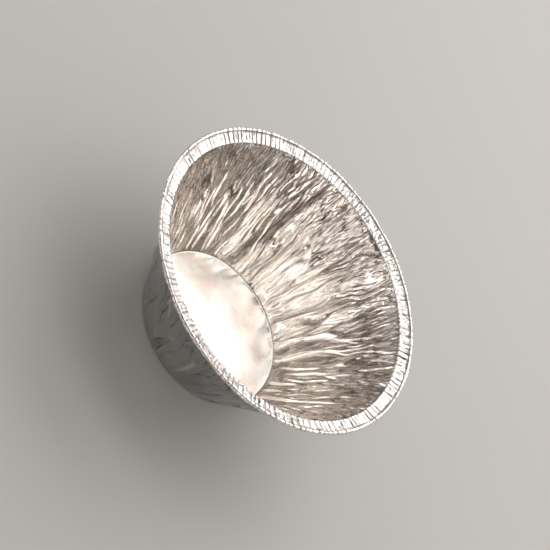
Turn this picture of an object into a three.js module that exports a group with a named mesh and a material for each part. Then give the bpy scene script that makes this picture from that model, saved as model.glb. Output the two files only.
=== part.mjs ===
// Foil pie case: one round blank of aluminium foil, pressed into a deep tapered cup with a crimped rim.
// Millimetres, +Z up. The origin is under the middle of the base, at the height where it rests.
// The sheet is made in its five formed zones, which meet face to face along the press tool's fold lines.
import * as THREE from 'three';

// Driving dimensions
const rimDiameter = 100; // across the rolled edge
const mouthDiameter = 89.6; // inside the lip, where the wall turns out into the flange
const baseDiameter = 51; // flat panel that the case stands on
const overallHeight = 41.5; // underside of the base to the top of the rolled edge
const foilGauge = 0.1; // thickness of the sheet
const heelRadius = 0.7; // bend between the base and the wall
const lipRadius = 0.55; // bend between the wall and the flange
const flangeRise = 0.85; // how far the flange climbs on its way out
const beadRadius = 0.65; // outside of the rolled edge

// Folds that take up the spare foil of the blank
const pleatCount = 48; // pressed into the wall
const pleatDepth = 0.45; // crest of a pleat above the smooth wall
const crimpDepth = 0.14; // height of a rim crimp, either way
const stepsPerPleat = 3; // one crest and a flat valley
const stepsPerCrimp = 2; // one up, one down
const aroundSteps = pleatCount * stepsPerPleat;

// The rolled edge turns from the flange over its top and back under, and stays open at the end
const beadStart = THREE.MathUtils.degToRad(165);
const beadEnd = THREE.MathUtils.degToRad(-150);

// Rows of facets along each zone of the sheet
const heelRows = 2;
const lipRows = 2;
const beadRows = 7;

// Where along the wall each row lies, from 0 at the heel to 1 at the lip, and its share of pleat and crimp
const wallRows = [
  { along: 0, pleat: 0, crimp: 0 },
  { along: 0.1, pleat: 0.7, crimp: 0 },
  { along: 0.45, pleat: 1, crimp: 0 },
  { along: 0.85, pleat: 0.8, crimp: 0.6 },
  { along: 1, pleat: 0, crimp: 1 },
];
const flangeRows = [
  { along: 0.5, crimp: 1 },
  { along: 1, crimp: 0 },
];

// Bright rolled aluminium
const foilColour = 0xdedbd6;
const baseRoughness = 0.32;
const wallRoughness = 0.24;
const rimRoughness = 0.28;

// The middle of the sheet, seen as a line in the (radius, height) plane
const point = (radius, height) => new THREE.Vector2(radius, height);
const heelCentre = point(baseDiameter / 2, foilGauge / 2 + heelRadius);
const beadCentre = point(rimDiameter / 2 - beadRadius, overallHeight - beadRadius);
const curlRadius = beadRadius - foilGauge / 2;
const beadRoot = onArc(beadCentre, curlRadius, beadStart);
const lipCentre = point(mouthDiameter / 2 + lipRadius, beadRoot.y - flangeRise - lipRadius);

// The wall is the straight line that touches the heel bend from outside and the lip bend from inside
const heelToLip = lipCentre.clone().sub(heelCentre);
const wallLean =
  Math.atan2(heelToLip.x, heelToLip.y) - Math.asin((heelRadius + lipRadius) / heelToLip.length());
const wallNormalAngle = Math.PI - wallLean; // of the side of the sheet that faces into the cup
const wallNormal = point(Math.cos(wallNormalAngle), Math.sin(wallNormalAngle));
const wallFoot = heelCentre.clone().addScaledVector(wallNormal, -heelRadius);
const wallHead = lipCentre.clone().addScaledVector(wallNormal, lipRadius);

// The flange leaves the lip bend along its tangent and runs straight to the root of the rolled edge
const lipToRoot = beadRoot.clone().sub(lipCentre);
const flangeSlope = Math.atan2(lipToRoot.y, lipToRoot.x) - Math.asin(lipRadius / lipToRoot.length());
const flangeNormalAngle = Math.PI / 2 + flangeSlope;
const flangeNormal = point(Math.cos(flangeNormalAngle), Math.sin(flangeNormalAngle));
const flangeFoot = lipCentre.clone().addScaledVector(flangeNormal, lipRadius);

// The two runs of foil share a mitred edge where the flange folds up into the rolled edge
const rootNormal = mitre(flangeNormal, point(Math.cos(beadStart), Math.sin(beadStart)));

function onArc(centre, radius, angle) {
  return point(centre.x + radius * Math.cos(angle), centre.y + radius * Math.sin(angle));
}

function mitre(first, second) {
  const middle = first.clone().add(second).normalize();
  return middle.divideScalar(middle.dot(first));
}

// A station is one point of the sheet's middle line, with its normal into the cup and its share of folds
function station(place, normal, pleat = 0, crimp = 0) {
  return { place, normal, pleat, crimp };
}

// Stations on a bend. side is 1 where the normal points away from the bend's centre, and -1 where to it
function bend(centre, radius, fromAngle, toAngle, side, rows, crimp = 0) {
  return Array.from({ length: rows + 1 }, (_, row) => {
    const angle = THREE.MathUtils.lerp(fromAngle, toAngle, row / rows);
    const normal = point(Math.cos(angle), Math.sin(angle));
    return station(centre.clone().addScaledVector(normal, side * radius), normal, 0, crimp);
  });
}

// Triangles of a turned outline. Both skins split their facets along the same diagonal, so that a folded
// sheet keeps its thickness. The lathe's points run along the outline first, then on to the next step round
function matchedFacets(skinPoints, outlinePoints) {
  const index = [];
  for (let step = 0; step < aroundSteps; step++) {
    for (let edge = 0; edge < outlinePoints - 1; edge++) {
      const here = step * outlinePoints + edge;
      const ahead = here + outlinePoints;
      if (edge < skinPoints) index.push(here, ahead, here + 1, ahead + 1, here + 1, ahead);
      else index.push(here, ahead, ahead + 1, here, ahead + 1, here + 1);
    }
  }
  return index;
}

// One zone of the sheet: both skins of its stations turned about the axis, then folded along their normals
function pressedZone(name, stations, roughness) {
  const skins = [
    ...stations.map((s) => ({ ...s, offset: -foilGauge / 2 })),
    ...stations.toReversed().map((s) => ({ ...s, offset: foilGauge / 2 })),
  ];
  const onAxis = stations[0].place.x === 0;
  const outline = onAxis ? skins : [...skins, skins[0]];
  const flat = outline.map((s) => s.place.clone().addScaledVector(s.normal, s.offset));
  const geometry = new THREE.LatheGeometry(flat, aroundSteps);
  geometry.setIndex(matchedFacets(stations.length, outline.length));
  const position = geometry.attributes.position;
  for (let vertex = 0; vertex < position.count; vertex++) {
    const step = Math.floor(vertex / outline.length);
    const { normal, pleat, crimp } = outline[vertex % outline.length];
    const turn = (step / aroundSteps) * 2 * Math.PI;
    const lift =
      pleat * pleatDepth * Math.cos((2 * Math.PI * step) / stepsPerPleat) +
      crimp * crimpDepth * Math.cos((2 * Math.PI * step) / stepsPerCrimp);
    position.setXYZ(
      vertex,
      position.getX(vertex) + lift * normal.x * Math.sin(turn),
      position.getY(vertex) + lift * normal.y,
      position.getZ(vertex) + lift * normal.x * Math.cos(turn),
    );
  }
  geometry.rotateX(Math.PI / 2); // the lathe turns about Y, and the case stands along Z
  geometry.computeVertexNormals();
  const finish = new THREE.MeshStandardMaterial({ color: foilColour, metalness: 1, roughness });
  const mesh = new THREE.Mesh(geometry, finish);
  mesh.name = name;
  return mesh;
}

// Flat disc under the filling
function basePanel() {
  const up = point(0, 1);
  const middle = foilGauge / 2;
  return [station(point(0, middle), up), station(point(baseDiameter / 2, middle), up)];
}

// Bend from the base up into the wall
function heelBend() {
  return bend(heelCentre, heelRadius, Math.PI / 2, wallNormalAngle, -1, heelRows);
}

// Tapered wall, smooth at the heel and pleated above it
function pleatedWall() {
  return wallRows.map((row) =>
    station(wallFoot.clone().lerp(wallHead, row.along), wallNormal, row.pleat, row.crimp),
  );
}

// Lip bend and the ledge around the mouth, crimped across its width
function crimpedFlange() {
  const lip = bend(lipCentre, lipRadius, wallNormalAngle, flangeNormalAngle, 1, lipRows, 1);
  const ledge = flangeRows.map((row) => {
    const normal = row.along === 1 ? rootNormal : flangeNormal;
    return station(flangeFoot.clone().lerp(beadRoot, row.along), normal, 0, row.crimp);
  });
  return [...lip, ...ledge];
}

// Edge of the blank, curled over and under so that no raw foil faces out
function rolledEdge() {
  const curl = bend(beadCentre, curlRadius, beadStart, beadEnd, 1, beadRows);
  curl[0].normal = rootNormal;
  return curl;
}

const pieCase = new THREE.Group();
pieCase.name = 'foil_pie_case';
pieCase.add(
  pressedZone('base_panel', basePanel(), baseRoughness),
  pressedZone('heel_bend', heelBend(), baseRoughness),
  pressedZone('pleated_wall', pleatedWall(), wallRoughness),
  pressedZone('crimped_flange', crimpedFlange(), rimRoughness),
  pressedZone('rolled_edge', rolledEdge(), rimRoughness),
);

export default pieCase;
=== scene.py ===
import math

import bpy
import numpy as np
from mathutils import Matrix, Vector


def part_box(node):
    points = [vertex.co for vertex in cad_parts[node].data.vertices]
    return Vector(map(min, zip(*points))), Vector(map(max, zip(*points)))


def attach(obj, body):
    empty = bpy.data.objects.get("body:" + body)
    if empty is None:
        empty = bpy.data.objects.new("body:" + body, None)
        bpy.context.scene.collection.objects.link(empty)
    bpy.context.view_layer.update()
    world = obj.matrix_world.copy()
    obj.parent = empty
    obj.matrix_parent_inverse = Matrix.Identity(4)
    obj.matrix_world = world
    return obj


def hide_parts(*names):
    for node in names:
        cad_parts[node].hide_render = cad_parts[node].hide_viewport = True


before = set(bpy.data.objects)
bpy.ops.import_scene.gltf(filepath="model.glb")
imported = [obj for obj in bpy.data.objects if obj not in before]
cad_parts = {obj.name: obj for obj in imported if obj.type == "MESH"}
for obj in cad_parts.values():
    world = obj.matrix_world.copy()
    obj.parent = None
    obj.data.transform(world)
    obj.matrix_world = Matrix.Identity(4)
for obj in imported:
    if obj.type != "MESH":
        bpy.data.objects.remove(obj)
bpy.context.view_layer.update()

mm = 0.001
scene = bpy.context.scene
scene.view_settings.view_transform = "Standard"
print("frame loaded:", ", ".join(sorted(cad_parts)))


# node helpers, the same for shader and geometry trees

def feed(tree, socket, value):
    if isinstance(value, bpy.types.NodeSocket):
        tree.links.new(value, socket)
    else:
        socket.default_value = value


def addNode(tree, kind, inputs=None, **settings):
    node = tree.nodes.new(kind)
    for name, value in settings.items():
        setattr(node, name, value)
    for name, value in (inputs or {}).items():
        feed(tree, node.inputs[name], value)
    return node


def calc(tree, operation, *values):
    node = addNode(tree, "ShaderNodeMath", operation=operation)
    for socket, value in zip(node.inputs, values):
        feed(tree, socket, value)
    return node.outputs[0]


def product(tree, *values):
    result = values[0]
    for value in values[1:]:
        result = calc(tree, "MULTIPLY", result, value)
    return result


def total(tree, *values):
    result = values[0]
    for value in values[1:]:
        result = calc(tree, "ADD", result, value)
    return result


def remap(tree, value, fromLow, fromHigh, toLow, toHigh):
    node = addNode(tree, "ShaderNodeMapRange", clamp=True, interpolation_type="SMOOTHSTEP")
    for socket, item in zip(node.inputs, (value, fromLow, fromHigh, toLow, toHigh)):
        feed(tree, socket, item)
    return node.outputs[0]


def blendColour(tree, share, first, second):
    node = addNode(tree, "ShaderNodeMix", data_type="RGBA")
    sockets = (node.inputs[0], node.inputs[6], node.inputs[7])
    for socket, value in zip(sockets, (share, first, second)):
        feed(tree, socket, value)
    return node.outputs[2]


def cloud(tree, point, scale=1.0, detail=2.0):
    look = {"Vector": point, "Scale": scale, "Detail": detail}
    return addNode(tree, "ShaderNodeTexNoise", look).outputs[0]


def offMiddle(tree, noise):  # noise about zero instead of about a half
    return calc(tree, "SUBTRACT", noise, 0.5)


def openTree(name, kind, inputs, outputs):
    tree = bpy.data.node_groups.new(name, kind)
    for socketName, socketKind, default in inputs:
        socket = tree.interface.new_socket(socketName, in_out="INPUT", socket_type=socketKind)
        if default is not None:
            socket.default_value = default
    for socketName, socketKind in outputs:
        tree.interface.new_socket(socketName, in_out="OUTPUT", socket_type=socketKind)
    start = tree.nodes.new("NodeGroupInput")
    end = tree.nodes.new("NodeGroupOutput")
    return tree, start.outputs, end.inputs


# the pressed sheet's middle line, in the (radius, height) plane, fitted to the frame's rim and base

foil = {
    "gauge": 0.1 * mm,
    "mouthRadius": 44.8 * mm,  # inside the lip
    "heelRadius": 0.7 * mm,
    "lipRadius": 0.55 * mm,
    "beadRadius": 0.7 * mm,
    "flangeRise": 0.85 * mm,
    "beadStart": math.radians(165),
    "beadEnd": math.radians(-150),
    "rimRoom": 0.4 * mm,  # for the wrinkles of the rolled edge, inside the frame's box
    "baseAround": 350,  # steps round each zone
    "wallAround": 1050,
    "rimAround": 1800,
}


def heading(angle):
    return np.array([math.cos(angle), math.sin(angle)])


def unit(vector):
    return vector / np.linalg.norm(vector)


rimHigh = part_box("rolled_edge")[1]
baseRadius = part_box("base_panel")[1].x
halfGauge = foil["gauge"] / 2
curlRadius = foil["beadRadius"] - halfGauge
rimInset = foil["beadRadius"] + foil["rimRoom"]
heelCentre = np.array([baseRadius, halfGauge + foil["heelRadius"]])
beadCentre = np.array([rimHigh.x - rimInset, rimHigh.z - rimInset])
beadRoot = beadCentre + curlRadius * heading(foil["beadStart"])
lipHeight = beadRoot[1] - foil["flangeRise"] - foil["lipRadius"]
lipCentre = np.array([foil["mouthRadius"] + foil["lipRadius"], lipHeight])
heelToLip = lipCentre - heelCentre
bends = foil["heelRadius"] + foil["lipRadius"]
wallLean = math.atan2(*heelToLip) - math.asin(bends / np.linalg.norm(heelToLip))
wallAngle = math.pi - wallLean  # of the normal into the cup
wallNormal = heading(wallAngle)
wallFoot = heelCentre - foil["heelRadius"] * wallNormal
wallHead = lipCentre + foil["lipRadius"] * wallNormal
wallLength = np.linalg.norm(wallHead - wallFoot)
lipToRoot = beadRoot - lipCentre
flangeSlope = math.atan2(lipToRoot[1], lipToRoot[0])
flangeSlope -= math.asin(foil["lipRadius"] / np.linalg.norm(lipToRoot))
flangeAngle = math.pi / 2 + flangeSlope
flangeNormal = heading(flangeAngle)
flangeFoot = lipCentre + foil["lipRadius"] * flangeNormal
rootNormal = unit(flangeNormal + heading(foil["beadStart"]))
rootNormal = rootNormal / rootNormal.dot(flangeNormal)  # mitred fold between flange and rolled edge
print("wall %.1f mm long, leaning %.1f degrees" % (wallLength / mm, math.degrees(wallLean)))


# a zone of the sheet is a row of stations: place, normal into the cup, and its share of each kind of fold

foldKinds = ("pleat", "needle", "fold", "crumple", "crimp", "wobble", "dent", "scored")


def station(place, normal, **folds):
    return {"place": place, "normal": normal, **{kind: folds.get(kind, 0.0) for kind in foldKinds}}


def ease(value):
    value = min(max(value, 0.0), 1.0)
    return value * value * (3 - 2 * value)


def rising(value, start, span):
    return ease((value - start) / span)


def turnedZone(name, stations, startRun, around):
    rows = len(stations)
    angles = np.arange(around) * (2 * math.pi / around)
    onAxis = stations[0]["place"][0] == 0
    places = np.array([item["place"] for item in stations])
    runs = startRun + np.concatenate([[0], np.cumsum(np.linalg.norm(np.diff(places, axis=0), axis=1))])
    points, lift, blank = [], [], []
    values = {key: [] for key in ("turn", "run", "inside", *foldKinds)}
    for side in (-1, 1):  # outer skin, then the one inside the cup
        for row, (item, run) in enumerate(zip(stations, runs)):
            radius, height = item["place"] + side * halfGauge * item["normal"]
            turn = angles[:1] if onAxis and row == 0 else angles
            out = np.stack([np.cos(turn), np.sin(turn)], 1)
            same = np.ones((len(turn), 1))
            points.append(np.hstack([out * radius, same * height]))
            lift.append(np.hstack([out * item["normal"][0], same * item["normal"][1]]))
            blank.append(np.hstack([out * run, same * 0]))  # where this spot was on the flat blank
            values["turn"].append(turn)
            values["run"].append(same[:, 0] * run)
            values["inside"].append(same[:, 0] * (side + 1) / 2)
            for kind in foldKinds:
                values[kind].append(same[:, 0] * item[kind])
    counts = [len(ring) for ring in points]
    starts = np.concatenate([[0], np.cumsum(counts)[:-1]])
    step = np.arange(around)
    after = (step + 1) % around

    # both skins are split along the same diagonal, so the sheet keeps its thickness
    def strip(low, high, turned=False):
        highHere = starts[high] + step
        highNext = starts[high] + after
        if counts[low] == 1:
            found = np.stack([np.full(around, starts[low]), highNext, highHere], 1)
        else:
            lowHere = starts[low] + step
            lowNext = starts[low] + after
            first = np.stack([lowHere, lowNext, highNext], 1)
            second = np.stack([lowHere, highNext, highHere], 1)
            found = np.concatenate([first, second])
        return found[:, ::-1] if turned else found

    faces = [strip(row, row + 1) for row in range(rows - 1)]
    faces += [strip(rows + row, rows + row + 1, turned=True) for row in range(rows - 1)]
    faces += [strip(rows - 1, 2 * rows - 1)]
    if not onAxis:
        faces += [strip(rows, 0)]

    mesh = bpy.data.meshes.new(name)
    mesh.from_pydata(np.concatenate(points).tolist(), [], np.concatenate(faces).tolist())
    for key, parts in values.items():
        layer = mesh.attributes.new(key, "FLOAT", "POINT")
        layer.data.foreach_set("value", np.concatenate(parts).astype(np.float32))
    for key, parts in (("lift", lift), ("blank", blank)):
        layer = mesh.attributes.new(key, "FLOAT_VECTOR", "POINT")
        layer.data.foreach_set("vector", np.concatenate(parts).astype(np.float32).ravel())
    mesh.polygons.foreach_set("use_smooth", np.ones(len(mesh.polygons), bool))

    # the cut ends of the sheet stay sharp
    cutRows = [rows - 1, 2 * rows - 1] + ([] if onAxis else [0, rows])
    pairs = np.zeros(len(mesh.edges) * 2, np.int32)
    mesh.edges.foreach_get("vertices", pairs)
    rowOf = np.repeat(np.arange(len(counts)), counts)[pairs.reshape(-1, 2)]
    sharp = (rowOf[:, 0] == rowOf[:, 1]) & np.isin(rowOf[:, 0], cutRows)
    layer = mesh.attributes.new("sharp_edge", "BOOLEAN", "EDGE")
    layer.data.foreach_set("value", sharp)
    mesh.update()
    piece = bpy.data.objects.new(name, mesh)
    scene.collection.objects.link(piece)
    return piece, runs[-1]


# geometry nodes that press the folds into a zone
# a count is a number round the case, a length runs up the sheet, and a shift picks another part of the noise

pressing = {
    "Swell Count": 36.0,  # broad soft waves
    "Swell Length": 34 * mm,
    "Swell Depth": 2.0 * mm,
    "Pleat Count": 50.0,  # spare foil pinched up into the cup
    "Pleat Length": 44 * mm,
    "Pleat Depth": 0.7 * mm,
    "Pleat Width": 0.075,
    "Needle Count": 110.0,  # short sharp pleats that start between the long ones
    "Needle Length": 28 * mm,
    "Needle Depth": 0.2 * mm,
    "Needle Width": 0.11,
    "Fold Count": 66.0,  # narrow grooves, open to the filling
    "Fold Length": 28 * mm,
    "Fold Depth": 0.62 * mm,
    "Fold Width": 0.055,
    "Facet Count": 180.0,
    "Facet Length": 7.0 * mm,
    "Facet Depth": 0.28 * mm,
    "Crumple Count": 185.0,
    "Crumple Length": 6.0 * mm,
    "Crumple Depth": 0.9 * mm,
    "Crimp Count": 168.0,  # grooves across the rim
    "Crimp Jitter": 1.8,
    "Crimp Depth": 0.34 * mm,
    "Crimp Width": 0.2,
    "Wobble Count": 70.0,
    "Wobble Depth": 1.1 * mm,
    "Sway": 0.2,
    "Dent Size": 16 * mm,
    "Dent Depth": 0.16 * mm,
    "Highest": 5 * mm,
    "Seed": 71.0,
}
shifts = {"Swell": 13.0, "Pleat": 11.0, "Needle": 29.0, "Fold": 23.0, "Facet": 41.0, "Crumple": 59.0}

# each kind of fold is at full strength in some patches and at its least in others
patches = {
    "pleat": {"count": 50.0, "length": 14 * mm, "shift": 83.0, "span": (0.36, 0.58), "least": 0.2},
    "needle": {"count": 40.0, "length": 20 * mm, "shift": 97.0, "span": (0.4, 0.6), "least": 0.05},
    "fold": {"count": 34.0, "length": 16 * mm, "shift": 37.0, "span": (0.4, 0.54), "least": 0.0},
    "crumple": {"count": 30.0, "length": 18 * mm, "shift": 53.0, "span": (0.38, 0.56), "least": 0.4},
    "crimp": {"count": 110.0, "length": 30 * mm, "shift": 73.0, "span": (0.36, 0.58), "least": 0.45},
}
sway = {
    "slow": {"count": 16.0, "length": 20 * mm},
    "quick": {"count": 60.0, "length": 5 * mm, "shift": 5.0},
    "quickShare": 0.15,
    "pleatShift": 3.0,
    "foldShift": 9.0,
}
rimNoise = {
    "drift": {"count": 70.0, "length": 40 * mm, "shift": 67.0},
    "wobble": {"length": 30 * mm, "shift": 71.0, "detail": 2.0},
    "gaps": {"count": 90.0, "length": 30 * mm, "shift": 61.0},
    "gapSpan": (0.44, 0.54),
    "gapMost": 0.8,
}
meanRoof = 0.22
meanFlute = 0.1
dentSpan = (0.3, 0.75)

# how far into a fold its painted shade line starts and is full, and how dark it gets
darkLine = {
    "fold": (0.4, 0.9, 1.0),
    "pleat": (0.8, 1.0, 1.0),
    "needle": (0.6, 1.0, 0.8),
    "crimp": (0.4, 1.0, 1.0),
}
# painted shade along the creases between the crumpled facets
facetLine = {"width": 0.1, "dark": 0.6}
openPleat = {"beside": 0.016, "span": (0.3, 0.9)}  # radians to the side where a broad pleat still shows
# where the swell hollows on the outer side get painted shade
dipSpan = (0.42, 0.68)


def namedValue(tree, name, kind="FLOAT"):
    node = addNode(tree, "GeometryNodeInputNamedAttribute", {"Name": name}, data_type=kind)
    return node.outputs["Attribute"]


# one unit is one pitch round the case, or one length up it
def ringPoint(tree, turn, run, count, length, shift):
    reach = calc(tree, "DIVIDE", count, 2 * math.pi)
    node = addNode(tree, "ShaderNodeCombineXYZ")
    feed(tree, node.inputs[0], product(tree, calc(tree, "COSINE", turn), reach))
    feed(tree, node.inputs[1], product(tree, calc(tree, "SINE", turn), reach))
    feed(tree, node.inputs[2], total(tree, calc(tree, "DIVIDE", run, length), shift))
    return node.outputs[0]


def roofs(tree, point):  # height above the creases between small flat facets
    look = {"Vector": point, "Scale": 1.0}
    node = addNode(tree, "ShaderNodeTexVoronoi", look, feature="DISTANCE_TO_EDGE")
    return node.outputs["Distance"]


def flutes(tree, point):  # rounded folds of mixed width with a sharp crease between each two
    return calc(tree, "ABSOLUTE", offMiddle(tree, cloud(tree, point, 1.0, 0.0)))


def pinches(tree, point, width):  # thin lines that fork and end, 1 along the line and 0 beside it
    return remap(tree, flutes(tree, point), 0.0, width, 1.0, 0.0)


def pressTree():
    sockets = [("Geometry", "NodeSocketGeometry", None)]
    sockets += [(name, "NodeSocketFloat", value) for name, value in pressing.items()]
    sockets += [("Finish", "NodeSocketMaterial", None)]
    outputs = [("Geometry", "NodeSocketGeometry")]
    tree, given, result = openTree("pressFolds", "GeometryNodeTree", sockets, outputs)
    turn = namedValue(tree, "turn")
    run = namedValue(tree, "run")
    inside = namedValue(tree, "inside")
    outside = calc(tree, "SUBTRACT", 1.0, inside)

    def noiseAt(count, length, shift, detail=1.0):
        point = ringPoint(tree, turn, run, count, length, total(tree, given["Seed"], shift))
        return cloud(tree, point, 1.0, detail)

    # folds wander off the straight line up the wall, and cross each other
    quick = product(tree, offMiddle(tree, noiseAt(**sway["quick"])), given["Sway"], sway["quickShare"])

    def wandering(shift):
        slow = product(tree, offMiddle(tree, noiseAt(**sway["slow"], shift=shift)), given["Sway"])
        return total(tree, turn, slow, quick)

    pleatTurn = wandering(sway["pleatShift"])
    foldTurn = wandering(sway["foldShift"])

    def placeOf(kind, swayed):
        shift = total(tree, given["Seed"], shifts[kind])
        return ringPoint(tree, swayed, run, given[kind + " Count"], given[kind + " Length"], shift)

    def raised(kind, rise, mean):
        return product(tree, calc(tree, "SUBTRACT", rise, mean), given[kind + " Depth"])

    share = {}
    for kind, patch in patches.items():
        noise = noiseAt(patch["count"], patch["length"], patch["shift"])
        strength = remap(tree, noise, *patch["span"], patch["least"], 1.0)
        share[kind] = product(tree, strength, namedValue(tree, kind))

    swellRise = cloud(tree, placeOf("Swell", pleatTurn), 1.0, 0.0)
    pleatLine = pinches(tree, placeOf("Pleat", pleatTurn), given["Pleat Width"])
    besideTurn = total(tree, pleatTurn, openPleat["beside"])
    pleatBeside = pinches(tree, placeOf("Pleat", besideTurn), given["Pleat Width"])
    needleLine = pinches(tree, placeOf("Needle", pleatTurn), given["Needle Width"])
    foldLine = pinches(tree, placeOf("Fold", foldTurn), given["Fold Width"])
    facetRise = roofs(tree, placeOf("Facet", foldTurn))
    crumpleRise = flutes(tree, placeOf("Crumple", pleatTurn))
    crumpled = total(tree, raised("Facet", facetRise, meanRoof), raised("Crumple", crumpleRise, meanFlute))

    # crimps come at an uneven pitch round the rim
    drift = product(tree, noiseAt(**rimNoise["drift"]), given["Crimp Jitter"])
    perTurn = calc(tree, "DIVIDE", given["Crimp Count"], 2 * math.pi)
    crimpTurn = total(tree, product(tree, turn, perTurn), drift)
    crimpLine = remap(tree, calc(tree, "PINGPONG", crimpTurn, 0.5), 0.0, given["Crimp Width"], 1.0, 0.0)
    wobbleRise = offMiddle(tree, noiseAt(given["Wobble Count"], **rimNoise["wobble"]))

    freeLift = total(
        tree,
        product(tree, raised("Swell", swellRise, 0.5), namedValue(tree, "pleat")),
        product(tree, pleatLine, given["Pleat Depth"], share["pleat"]),
        product(tree, needleLine, given["Needle Depth"], share["needle"]),
        product(tree, foldLine, given["Fold Depth"], share["fold"], -1.0),
        product(tree, crumpled, share["crumple"]),
        product(tree, crimpLine, given["Crimp Depth"], share["crimp"], -1.0),
        product(tree, wobbleRise, given["Wobble Depth"], namedValue(tree, "wobble")),
    )
    wallLift = calc(tree, "MINIMUM", freeLift, given["Highest"])

    # soft dents of the base
    flat = addNode(tree, "ShaderNodeVectorMath", operation="DIVIDE")
    feed(tree, flat.inputs[0], namedValue(tree, "blank", "FLOAT_VECTOR"))
    feed(tree, flat.inputs[1], given["Dent Size"])
    dented = remap(tree, cloud(tree, flat.outputs[0], 1.0, 1.0), *dentSpan, 0.0, 1.0)
    dent = product(tree, dented, given["Dent Depth"], namedValue(tree, "dent"))

    offset = addNode(tree, "ShaderNodeVectorMath", operation="SCALE")
    feed(tree, offset.inputs[0], namedValue(tree, "lift", "FLOAT_VECTOR"))
    feed(tree, offset.inputs["Scale"], total(tree, wallLift, dent))
    move = {"Geometry": given["Geometry"], "Offset": offset.outputs[0]}
    stored = addNode(tree, "GeometryNodeSetPosition", move).outputs[0]

    # painted shade lines lie in the hollow side of a fold, and its raised side gets a painted highlight
    def deep(kind, line):
        low, high, dark = darkLine[kind]
        return product(tree, remap(tree, line, low, high, 0.0, dark), share[kind])

    foldDeep = deep("fold", foldLine)
    thin = remap(tree, pleatBeside, *openPleat["span"], 1.0, 0.0)  # a broad pleat lies open and gets no painted shade line
    pleatDeep = product(tree, deep("pleat", pleatLine), thin)
    facetDeep = remap(tree, facetRise, 0.0, facetLine["width"], facetLine["dark"], 0.0)
    gaps = remap(tree, noiseAt(**rimNoise["gaps"]), *rimNoise["gapSpan"], rimNoise["gapMost"], 0.0)
    closed = product(tree, gaps, namedValue(tree, "crimp"))  # crimps close the groove here and there, breaking its painted shade line
    # crease: painted shade along folds, pleats, needles, facet creases, crimps and the shade lines at the
    # heel, lip and groove
    crease = total(
        tree,
        product(tree, foldDeep, inside),
        product(tree, total(tree, pleatDeep, deep("needle", needleLine)), outside),
        product(tree, facetDeep, share["crumple"]),
        deep("crimp", crimpLine),
        product(tree, namedValue(tree, "scored"), calc(tree, "SUBTRACT", 1.0, closed)),
    )
    # crest: painted highlight along the raised outer side of the folds
    crest = product(tree, foldDeep, outside)
    # dip: painted shade in the hollows of the broad swells, on the outer side
    dip = product(tree, remap(tree, swellRise, *dipSpan, 0.0, 1.0), outside, namedValue(tree, "pleat"))
    for key, value in (("crease", crease), ("crest", crest), ("dip", dip)):
        mark = {"Geometry": stored, "Name": key, "Value": value}
        keep = addNode(tree, "GeometryNodeStoreNamedAttribute", mark, data_type="FLOAT", domain="POINT")
        stored = keep.outputs[0]
    real = addNode(tree, "GeometryNodeRealizeInstances", {"Geometry": stored})
    dress = {"Geometry": real.outputs[0], "Material": given["Finish"]}
    feed(tree, result["Geometry"], addNode(tree, "GeometryNodeSetMaterial", dress).outputs[0])
    return tree


def press(piece, tree, finish, changes):
    modifier = piece.modifiers.new("pressFolds", "NODES")
    modifier.node_group = tree
    values = {**pressing, **changes, "Finish": finish}
    for item in tree.interface.items_tree:
        if item.item_type == "SOCKET" and item.in_out == "INPUT" and item.name in values:
            modifier[item.identifier] = values[item.name]
    plain = bpy.data.meshes.new_from_object(piece.evaluated_get(bpy.context.evaluated_depsgraph_get()))
    piece.modifiers.clear()
    piece.data = plain


folds = pressTree()
print("press tree ready: %d nodes" % len(folds.nodes))


# foil finish: rolling grain along the blank, painted shade in the creases, painted highlights on raised
# lines, and a duller outer side whose colour is also painted darker as a dark reflection

skinLook = {
    "grainScale": (90, 3200, 1),  # fine streaks along the blank
    "stainScale": 70.0,
    "smudgeScale": 160.0,
    "fineScale": 1400.0,
    "warmSpan": (0.42, 0.68),
    "hollowSpan": (0.35, 0.7),
    "hollowMost": 0.2,
    # share of painted shade in the swell hollows
    "dipShare": 0.3,
    "highlitShare": 0.8,  # painted highlight on raised lines
    "wormBend": 0.5,
    "wormWidth": 0.08,
    # painted shade along the worm creases, weaker on the outer side
    "wormDark": 0.55,
    "wormOutside": 0.15,
    "wormSlope": 0.22,
    "streakRough": 0.16,
    "smudgeRough": 0.18,
    "creaseRough": 0.12,
    "fineHeight": 0.4,
    "grainHeight": 0.2,
}


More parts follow.
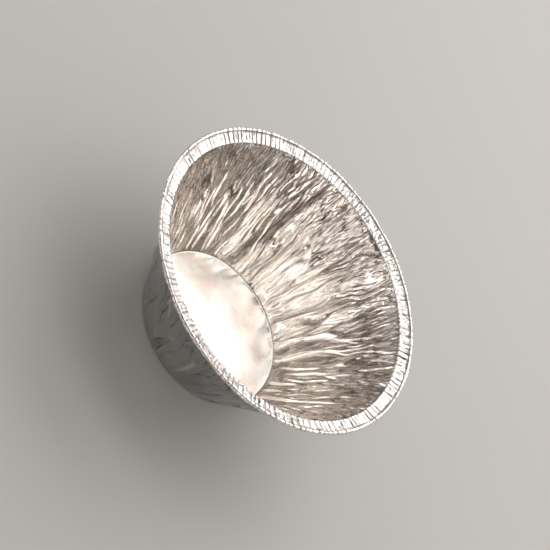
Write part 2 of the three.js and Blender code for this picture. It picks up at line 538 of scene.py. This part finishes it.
def foilSkinGroup():
    inputs = [
        ("Bright", "NodeSocketColor", (0.935, 0.9, 0.865, 1)),
        ("Warm", "NodeSocketColor", (0.915, 0.855, 0.805, 1)),
        # Crease: painted shade colour of the creases inside the cup
        ("Crease", "NodeSocketColor", (0.42, 0.37, 0.34, 1)),
        # Outside: the outer side's own duller tone, darkened further as a painted dark reflection
        ("Outside", "NodeSocketColor", (0.65, 0.655, 0.65, 1)),
        # painted highlight colour on the raised outer lines
        ("Painted Highlight", "NodeSocketColor", (0.95, 0.95, 0.94, 1)),
        # Hollow: painted shade colour of the creases and swell hollows on the outer side; random stain
        # patches also lean toward it
        ("Hollow", "NodeSocketColor", (0.21, 0.215, 0.215, 1)),
        ("Crease Share", "NodeSocketFloat", 0.55),
        ("Polish", "NodeSocketFloat", 0.2),
        ("Matte", "NodeSocketFloat", 0.1),
        ("Crinkle", "NodeSocketFloat", 1.1),
        ("Worm Count", "NodeSocketFloat", 26.0),
        ("Worm Length", "NodeSocketFloat", 7 * mm),
    ]
    outputs = [("Colour", "NodeSocketColor"), ("Roughness", "NodeSocketFloat"), ("Height", "NodeSocketFloat")]
    tree, given, result = openTree("foilSkin", "ShaderNodeTree", inputs, outputs)

    def stored(name, output="Fac"):
        return addNode(tree, "ShaderNodeAttribute", attribute_name=name).outputs[output]

    blank = stored("blank", "Vector")
    inside = stored("inside")
    crease = stored("crease")
    crumpled = stored("crumple")
    place = addNode(tree, "ShaderNodeTexCoord").outputs["Object"]
    stretched = addNode(tree, "ShaderNodeMapping", {"Vector": blank, "Scale": skinLook["grainScale"]})
    grain = cloud(tree, stretched.outputs[0], 1.0, 2.0)
    stain = cloud(tree, place, skinLook["stainScale"], 3.0)
    warmth = remap(tree, stain, *skinLook["warmSpan"], 0.0, 1.0)
    tone = blendColour(tree, warmth, given["Bright"], given["Warm"])
    dim = remap(tree, stain, *skinLook["hollowSpan"], 0.0, skinLook["hollowMost"])
    # random stain patches plus painted shade in the swell hollows
    shaded = total(tree, dim, product(tree, stored("dip"), skinLook["dipShare"]))
    stainAndShade = blendColour(tree, shaded, given["Outside"], given["Hollow"])
    # painted highlight on the raised outer fold lines
    highlit = product(tree, stored("crest"), skinLook["highlitShare"])
    outer = blendColour(tree, highlit, stainAndShade, given["Painted Highlight"])
    sided = blendColour(tree, inside, outer, tone)
    shadow = blendColour(tree, inside, given["Hollow"], given["Crease"])

    # thin worm-like creases, wherever the foil is crumpled: bumps, with painted shade lines along them
    out = addNode(tree, "ShaderNodeVectorMath", operation="NORMALIZE")
    feed(tree, out.inputs[0], blank)
    away = addNode(tree, "ShaderNodeVectorMath", operation="LENGTH")
    feed(tree, away.inputs[0], blank)
    ring = addNode(tree, "ShaderNodeVectorMath", operation="SCALE")
    feed(tree, ring.inputs[0], out.outputs[0])
    feed(tree, ring.inputs["Scale"], given["Worm Count"])
    climb = addNode(tree, "ShaderNodeCombineXYZ")
    feed(tree, climb.inputs[2], calc(tree, "DIVIDE", away.outputs["Value"], given["Worm Length"]))
    wormPoint = addNode(tree, "ShaderNodeVectorMath", operation="ADD")
    feed(tree, wormPoint.inputs[0], ring.outputs[0])
    feed(tree, wormPoint.inputs[1], climb.outputs[0])
    look = {"Vector": wormPoint.outputs[0], "Scale": 1.0, "Detail": 0.0, "Distortion": skinLook["wormBend"]}
    wormNoise = addNode(tree, "ShaderNodeTexNoise", look).outputs[0]
    wormed = calc(tree, "ABSOLUTE", offMiddle(tree, wormNoise))
    wormShare = remap(tree, inside, 0.0, 1.0, skinLook["wormOutside"], 1.0)
    wormMark = remap(tree, wormed, 0.0, skinLook["wormWidth"], skinLook["wormDark"], 0.0)
    wormLine = product(tree, wormMark, crumpled, wormShare)
    # painted shade along the creases and worm lines
    paintedShade = product(tree, total(tree, crease, wormLine), given["Crease Share"])
    feed(tree, result["Colour"], blendColour(tree, calc(tree, "MINIMUM", paintedShade, 1.0), sided, shadow))

    streak = product(tree, offMiddle(tree, grain), skinLook["streakRough"])
    smudges = cloud(tree, place, skinLook["smudgeScale"], 3.0)
    smudge = product(tree, offMiddle(tree, smudges), skinLook["smudgeRough"])
    matte = product(tree, calc(tree, "SUBTRACT", 1.0, inside), given["Matte"])
    worn = product(tree, crease, skinLook["creaseRough"])
    feed(tree, result["Roughness"], total(tree, given["Polish"], streak, smudge, matte, worn))

    fine = product(tree, cloud(tree, place, skinLook["fineScale"], 2.0), skinLook["fineHeight"])
    rolled = product(tree, grain, skinLook["grainHeight"])
    wormSide = remap(tree, wormed, 0.0, skinLook["wormSlope"], 0.0, 1.0)
    worms = product(tree, wormSide, crumpled, given["Crinkle"])
    feed(tree, result["Height"], total(tree, fine, rolled, worms))
    return tree


foilSkin = foilSkinGroup()
bumpStrength = 0.6


def foilMaterial(name, look, bumpDistance):
    material = bpy.data.materials.new(name)
    material.use_nodes = True
    tree = material.node_tree
    shader = tree.nodes["Principled BSDF"]
    skin = addNode(tree, "ShaderNodeGroup", node_tree=foilSkin)
    for key, value in look.items():
        skin.inputs[key].default_value = value
    bump = addNode(tree, "ShaderNodeBump", {"Strength": bumpStrength, "Distance": bumpDistance})
    feed(tree, bump.inputs["Height"], skin.outputs["Height"])
    shader.inputs["Metallic"].default_value = 1.0
    feed(tree, shader.inputs["Base Color"], skin.outputs["Colour"])
    feed(tree, shader.inputs["Roughness"], skin.outputs["Roughness"])
    feed(tree, shader.inputs["Normal"], bump.outputs[0])
    return material


# Crease is each foil's painted shade colour in its creases
wallLook = {
    "Bright": (0.95, 0.897, 0.853, 1),
    "Warm": (0.93, 0.86, 0.807, 1),
    "Crease": (0.29, 0.255, 0.24, 1),
    "Crease Share": 0.95,
    "Polish": 0.07,
    "Matte": 0.05,
}
rimLook = {
    "Bright": (0.94, 0.91, 0.88, 1),
    "Warm": (0.76, 0.7, 0.675, 1),
    "Crease": (0.26, 0.225, 0.21, 1),
    "Crease Share": 0.65,
    "Polish": 0.13,
}
baseLook = {
    "Bright": (0.86, 0.84, 0.81, 1),
    "Warm": (0.74, 0.64, 0.59, 1),
    "Crease": (0.26, 0.22, 0.2, 1),
    "Crease Share": 0.95,
    "Polish": 0.28,
}
wallFoil = foilMaterial("wallFoil", wallLook, 0.03 * mm)
rimFoil = foilMaterial("rimFoil", rimLook, 0.03 * mm)
baseFoil = foilMaterial("baseFoil", baseLook, 0.02 * mm)
print("finishes ready: wall, rim and base foil")


# flat panel under the filling
base = {
    "rows": 24,
    "flatEdge": 0.25,  # share of the radius where the dents fade out
}


def basePanel():
    up = heading(math.pi / 2)
    found = []
    for row in range(base["rows"] + 1):
        along = row / base["rows"]
        place = np.array([baseRadius * along, halfGauge])
        found.append(station(place, up, dent=ease((1 - along) / base["flatEdge"])))
    return found


# bend from the base into the wall
heel = {
    "rows": 8,
    "scoredFrom": 2 / 3,  # painted shade line along the top of the bend
}


def heelBend():
    found = []
    for row in range(heel["rows"] + 1):
        along = row / heel["rows"]
        normal = heading(math.pi / 2 + (wallAngle - math.pi / 2) * along)
        scored = rising(along, heel["scoredFrom"], 1 - heel["scoredFrom"])
        found.append(station(heelCentre - foil["heelRadius"] * normal, normal, scored=scored))
    return found


# tapered wall; a pair says where along it a fold starts to come in or fade, and over how much of it
wall = {
    "lowRows": 11,  # long folds near the base need fewer rows than the crumples above
    "highRows": 35,
    "highStart": 0.42,
    "pleatIn": 2.4 * mm,  # pleats rise out of the heel over this length
    "pleatFade": (0.5, 0.35),
    "pleatLoss": 0.55,
    "needleIn": (0.25, 0.35),
    "foldIn": (0.08, 0.25),
    "crumpleIn": (0.5, 0.25),
    "flatUnderLip": 0.9 * mm,
    "wavyUnderLip": 3 * mm,
    "crimpUnderLip": 1.4 * mm,
    "lipLine": 0.8 * mm,  # painted shade line where the wall turns out
    "lipShade": 0.8,
}
lip = {
    "wobble": 0.55,  # share of the rolled edge's
    "crimp": 0.8,  # where the wall meets the lip
}


def pleatedWall():
    low = np.linspace(0, wall["highStart"], wall["lowRows"], endpoint=False)
    high = np.linspace(wall["highStart"], 1, wall["highRows"] + 1)
    found = []
    for along in np.concatenate([low, high]):
        run = along * wallLength
        left = wallLength - run
        calmTop = ease(left / wall["flatUnderLip"])
        pleatLeft = 1 - wall["pleatLoss"] * rising(along, *wall["pleatFade"])
        found.append(station(
            wallFoot + (wallHead - wallFoot) * along, wallNormal,
            pleat=ease(run / wall["pleatIn"]) * pleatLeft * calmTop,
            needle=rising(along, *wall["needleIn"]) * calmTop,
            fold=rising(along, *wall["foldIn"]) * calmTop,
            crumple=rising(along, *wall["crumpleIn"]) * calmTop,
            wobble=lip["wobble"] * ease(1 - left / wall["wavyUnderLip"]),
            crimp=lip["crimp"] * ease(1 - left / wall["crimpUnderLip"]),
            # painted shade line just under the lip
            scored=wall["lipShade"] * ease(1 - left / wall["lipLine"]),
        ))
    return found


# lip bend and the ledge around the mouth; a span is a share of the ledge's width
flange = {
    "lipRows": 6,
    "ledgeRows": 13,
    "wobbleSpan": 0.5,
    "rootCrimp": 0.6,  # crimps get shallower towards the rolled edge
    "crimpSpan": 1 / 3,
    "crumpleSpans": (1 / 3, 1 / 5),
    "groove": 1.5,  # painted shade line beside the rolled edge
    "grooveSpan": 0.25,
}


def crimpedFlange():
    found = []
    for row in range(flange["lipRows"] + 1):
        along = row / flange["lipRows"]
        normal = heading(wallAngle + (flangeAngle - wallAngle) * along)
        found.append(station(
            lipCentre + foil["lipRadius"] * normal, normal,
            wobble=lip["wobble"],
            crimp=lip["crimp"] + (1 - lip["crimp"]) * ease(2 * along),
        ))
    crumpleIn, crumpleOut = flange["crumpleSpans"]
    for row in range(1, flange["ledgeRows"] + 1):
        along = row / flange["ledgeRows"]
        left = 1 - along
        normal = rootNormal if row == flange["ledgeRows"] else flangeNormal
        found.append(station(
            flangeFoot + (beadRoot - flangeFoot) * along, normal,
            wobble=lip["wobble"] + (1 - lip["wobble"]) * ease(along / flange["wobbleSpan"]),
            crimp=flange["rootCrimp"] + (1 - flange["rootCrimp"]) * ease(left / flange["crimpSpan"]),
            crumple=ease(along / crumpleIn) * ease(left / crumpleOut),
            # painted shade line in the groove beside the rolled edge
            scored=flange["groove"] * rising(along, 1 - flange["grooveSpan"], flange["grooveSpan"]),
        ))
    return found


# edge of the blank, curled over and under
edge = {
    "rows": 18,
    "rootRows": 4,  # where the groove ends and the crimps deepen
    "crimp": 0.9,
}


def rolledEdge():
    turnBy = foil["beadEnd"] - foil["beadStart"]
    found = []
    for row in range(edge["rows"] + 1):
        angle = foil["beadStart"] + turnBy * row / edge["rows"]
        normal = rootNormal if row == 0 else heading(angle)
        past = row / edge["rootRows"]
        found.append(station(
            beadCentre + curlRadius * heading(angle), normal,
            wobble=1.0,
            crimp=flange["rootCrimp"] + (edge["crimp"] - flange["rootCrimp"]) * ease(past),
            scored=flange["groove"] * ease(1 - past),
        ))
    return found


# the rim keeps its wrinkles lower and shorter than the wall's
rimChanges = {
    "Highest": 0.9 * foil["rimRoom"],
    "Facet Length": 3 * mm,
    "Crumple Length": 3.5 * mm,
}
zones = [
    ("foilBase", "base_panel", "base_foil", baseFoil, basePanel(), foil["baseAround"], {}),
    ("foilHeel", "heel_bend", "base_foil", baseFoil, heelBend(), foil["wallAround"], {}),
    ("foilWall", "pleated_wall", "wall_foil", wallFoil, pleatedWall(), foil["wallAround"], {}),
    ("foilFlange", "crimped_flange", "rim_foil", rimFoil, crimpedFlange(), foil["rimAround"], rimChanges),
    ("foilEdge", "rolled_edge", "rim_foil", rimFoil, rolledEdge(), foil["rimAround"], rimChanges),
]
sheetRun = 0.0  # along the sheet, from the middle of the base
for name, node, slot, finish, stations, around, changes in zones:
    piece, sheetRun = turnedZone(name, stations, sheetRun, around)
    press(piece, folds, finish, changes)
    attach(piece, "root")
    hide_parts(node)
    print("%s: %d faces" % (name, len(piece.data.polygons)))


# floor and light
stage = {
    "floorSize": 2.2,
    "floorColour": (0.59, 0.575, 0.56),
    "floorRoughness": 0.9,
    "drop": 0.02 * mm,
    "room": (0.14, 0.131, 0.122),  # what the foil mirrors between the lamps
    "backdrop": (0.52, 0.5, 0.48),  # past the floor
    "backdropFade": (0.08, 0.4),  # sine of the angle above the horizon, where the backdrop fades
    "lampAim": 20 * mm,  # height of the point that every softbox faces
}
half = stage["floorSize"] / 2
low = -stage["drop"]
corners = [(-half, -half, low), (half, -half, low), (half, half, low), (-half, half, low)]
floorMesh = bpy.data.meshes.new("floor")
floorMesh.from_pydata(corners, [], [(0, 1, 2, 3)])
floor = bpy.data.objects.new("floor", floorMesh)
scene.collection.objects.link(floor)
floorPaint = bpy.data.materials.new("floorPaint")
floorPaint.use_nodes = True
paint = floorPaint.node_tree.nodes["Principled BSDF"]
paint.inputs["Base Color"].default_value = (*stage["floorColour"], 1)
paint.inputs["Roughness"].default_value = stage["floorRoughness"]
floorMesh.materials.append(floorPaint)

world = bpy.data.worlds.new("studio")
world.use_nodes = True
sky = world.node_tree
direction = addNode(sky, "ShaderNodeTexCoord").outputs["Object"]
climb = addNode(sky, "ShaderNodeSeparateXYZ", {"Vector": direction}).outputs["Z"]
above = remap(sky, climb, *stage["backdropFade"], 0.0, 1.0)
skyColour = blendColour(sky, above, (*stage["backdrop"], 1), (*stage["room"], 1))
feed(sky, sky.nodes["Background"].inputs["Color"], skyColour)
scene.world = world

white = (1.0, 1.0, 1.0)
cream = (1.0, 0.985, 0.94)
warm = (1.0, 0.92, 0.845)
# name, degrees off the vertical, degrees round from the far side, distance, size, radiance, colour
softboxes = [
    ("overhead", 5, 0, 0.8, (1.0, 0.27), 1.3, cream),
    ("high", 41, 8, 0.8, (1.1, 0.43), 1.8, cream),
    ("ceiling", 26, 20, 0.9, (1.7, 1.4), 0.3, white),
    ("behind", 67, 0, 1.1, (1.6, 0.7), 0.9, white),
    ("frontLeft", 74, 212, 1.2, (0.36, 0.62), 1.3, warm),  # strips with dark gaps draw lines in crumpled foil
    ("front", 74, 176, 1.2, (0.36, 0.62), 0.6, warm),
    ("frontRight", 74, 140, 1.2, (0.36, 0.62), 1.5, warm),
    ("left", 52, -90, 1.1, (0.7, 0.5), 1.0, white),
    ("right", 52, 90, 1.1, (0.7, 0.5), 1.0, white),
]
for name, offAxis, turned, distance, size, radiance, colour in softboxes:
    lamp = bpy.data.lights.new(name, "AREA")
    lamp.shape = "RECTANGLE"
    lamp.size, lamp.size_y = size
    lamp.color = colour
    lamp.energy = radiance * math.pi * size[0] * size[1]
    box = bpy.data.objects.new(name, lamp)
    lean = math.radians(offAxis)
    bearing = math.radians(turned)
    back = Vector((math.sin(bearing) * math.sin(lean), math.cos(bearing) * math.sin(lean), math.cos(lean)))
    box.location = Vector((0, 0, stage["lampAim"])) + back * distance
    box.rotation_mode = "QUATERNION"
    box.rotation_quaternion = back.to_track_quat("Z", "Y")
    scene.collection.objects.link(box)
scene.cycles.glossy_bounces = 12  # light goes round and round inside the bright cup
print("stage lit: %d softboxes" % len(softboxes))


# camera at the photograph's angle
camera = {
    "imageSize": 550,  # pixels
    "focal": 1500,  # pixels
    "sensor": 36.0,
    "clipStart": 10 * mm,
    "lookDown": math.radians(41.2),
    "roll": math.radians(58.7),
    "distance": 446.4 * mm,
    "rimPixel": (292.9, 276.7),  # where the middle of the rim shows
}
lens = bpy.data.cameras.new("photoCamera")
lens.sensor_width = camera["sensor"]
lens.lens = camera["focal"] / camera["imageSize"] * camera["sensor"]
lens.clip_start = camera["clipStart"]
viewer = bpy.data.objects.new("photoCamera", lens)
scene.collection.objects.link(viewer)
forward = Vector((0, math.cos(camera["lookDown"]), -math.sin(camera["lookDown"])))
level = Vector((1, 0, 0))
upright = level.cross(forward)
right = level * math.cos(camera["roll"]) + upright * math.sin(camera["roll"])
up = upright * math.cos(camera["roll"]) - level * math.sin(camera["roll"])
rimCentre = Vector((0, 0, float(beadCentre[1])))
perPixel = camera["distance"] / camera["focal"]
middle = camera["imageSize"] / 2
sideways = (camera["rimPixel"][0] - middle) * perPixel
downwards = (camera["rimPixel"][1] - middle) * perPixel
eye = rimCentre - forward * camera["distance"] - right * sideways + up * downwards
viewer.matrix_world = Matrix.Translation(eye) @ Matrix((right, up, -forward)).transposed().to_4x4()
scene.camera = viewer
print("camera %.0f mm from the rim" % (camera["distance"] / mm))
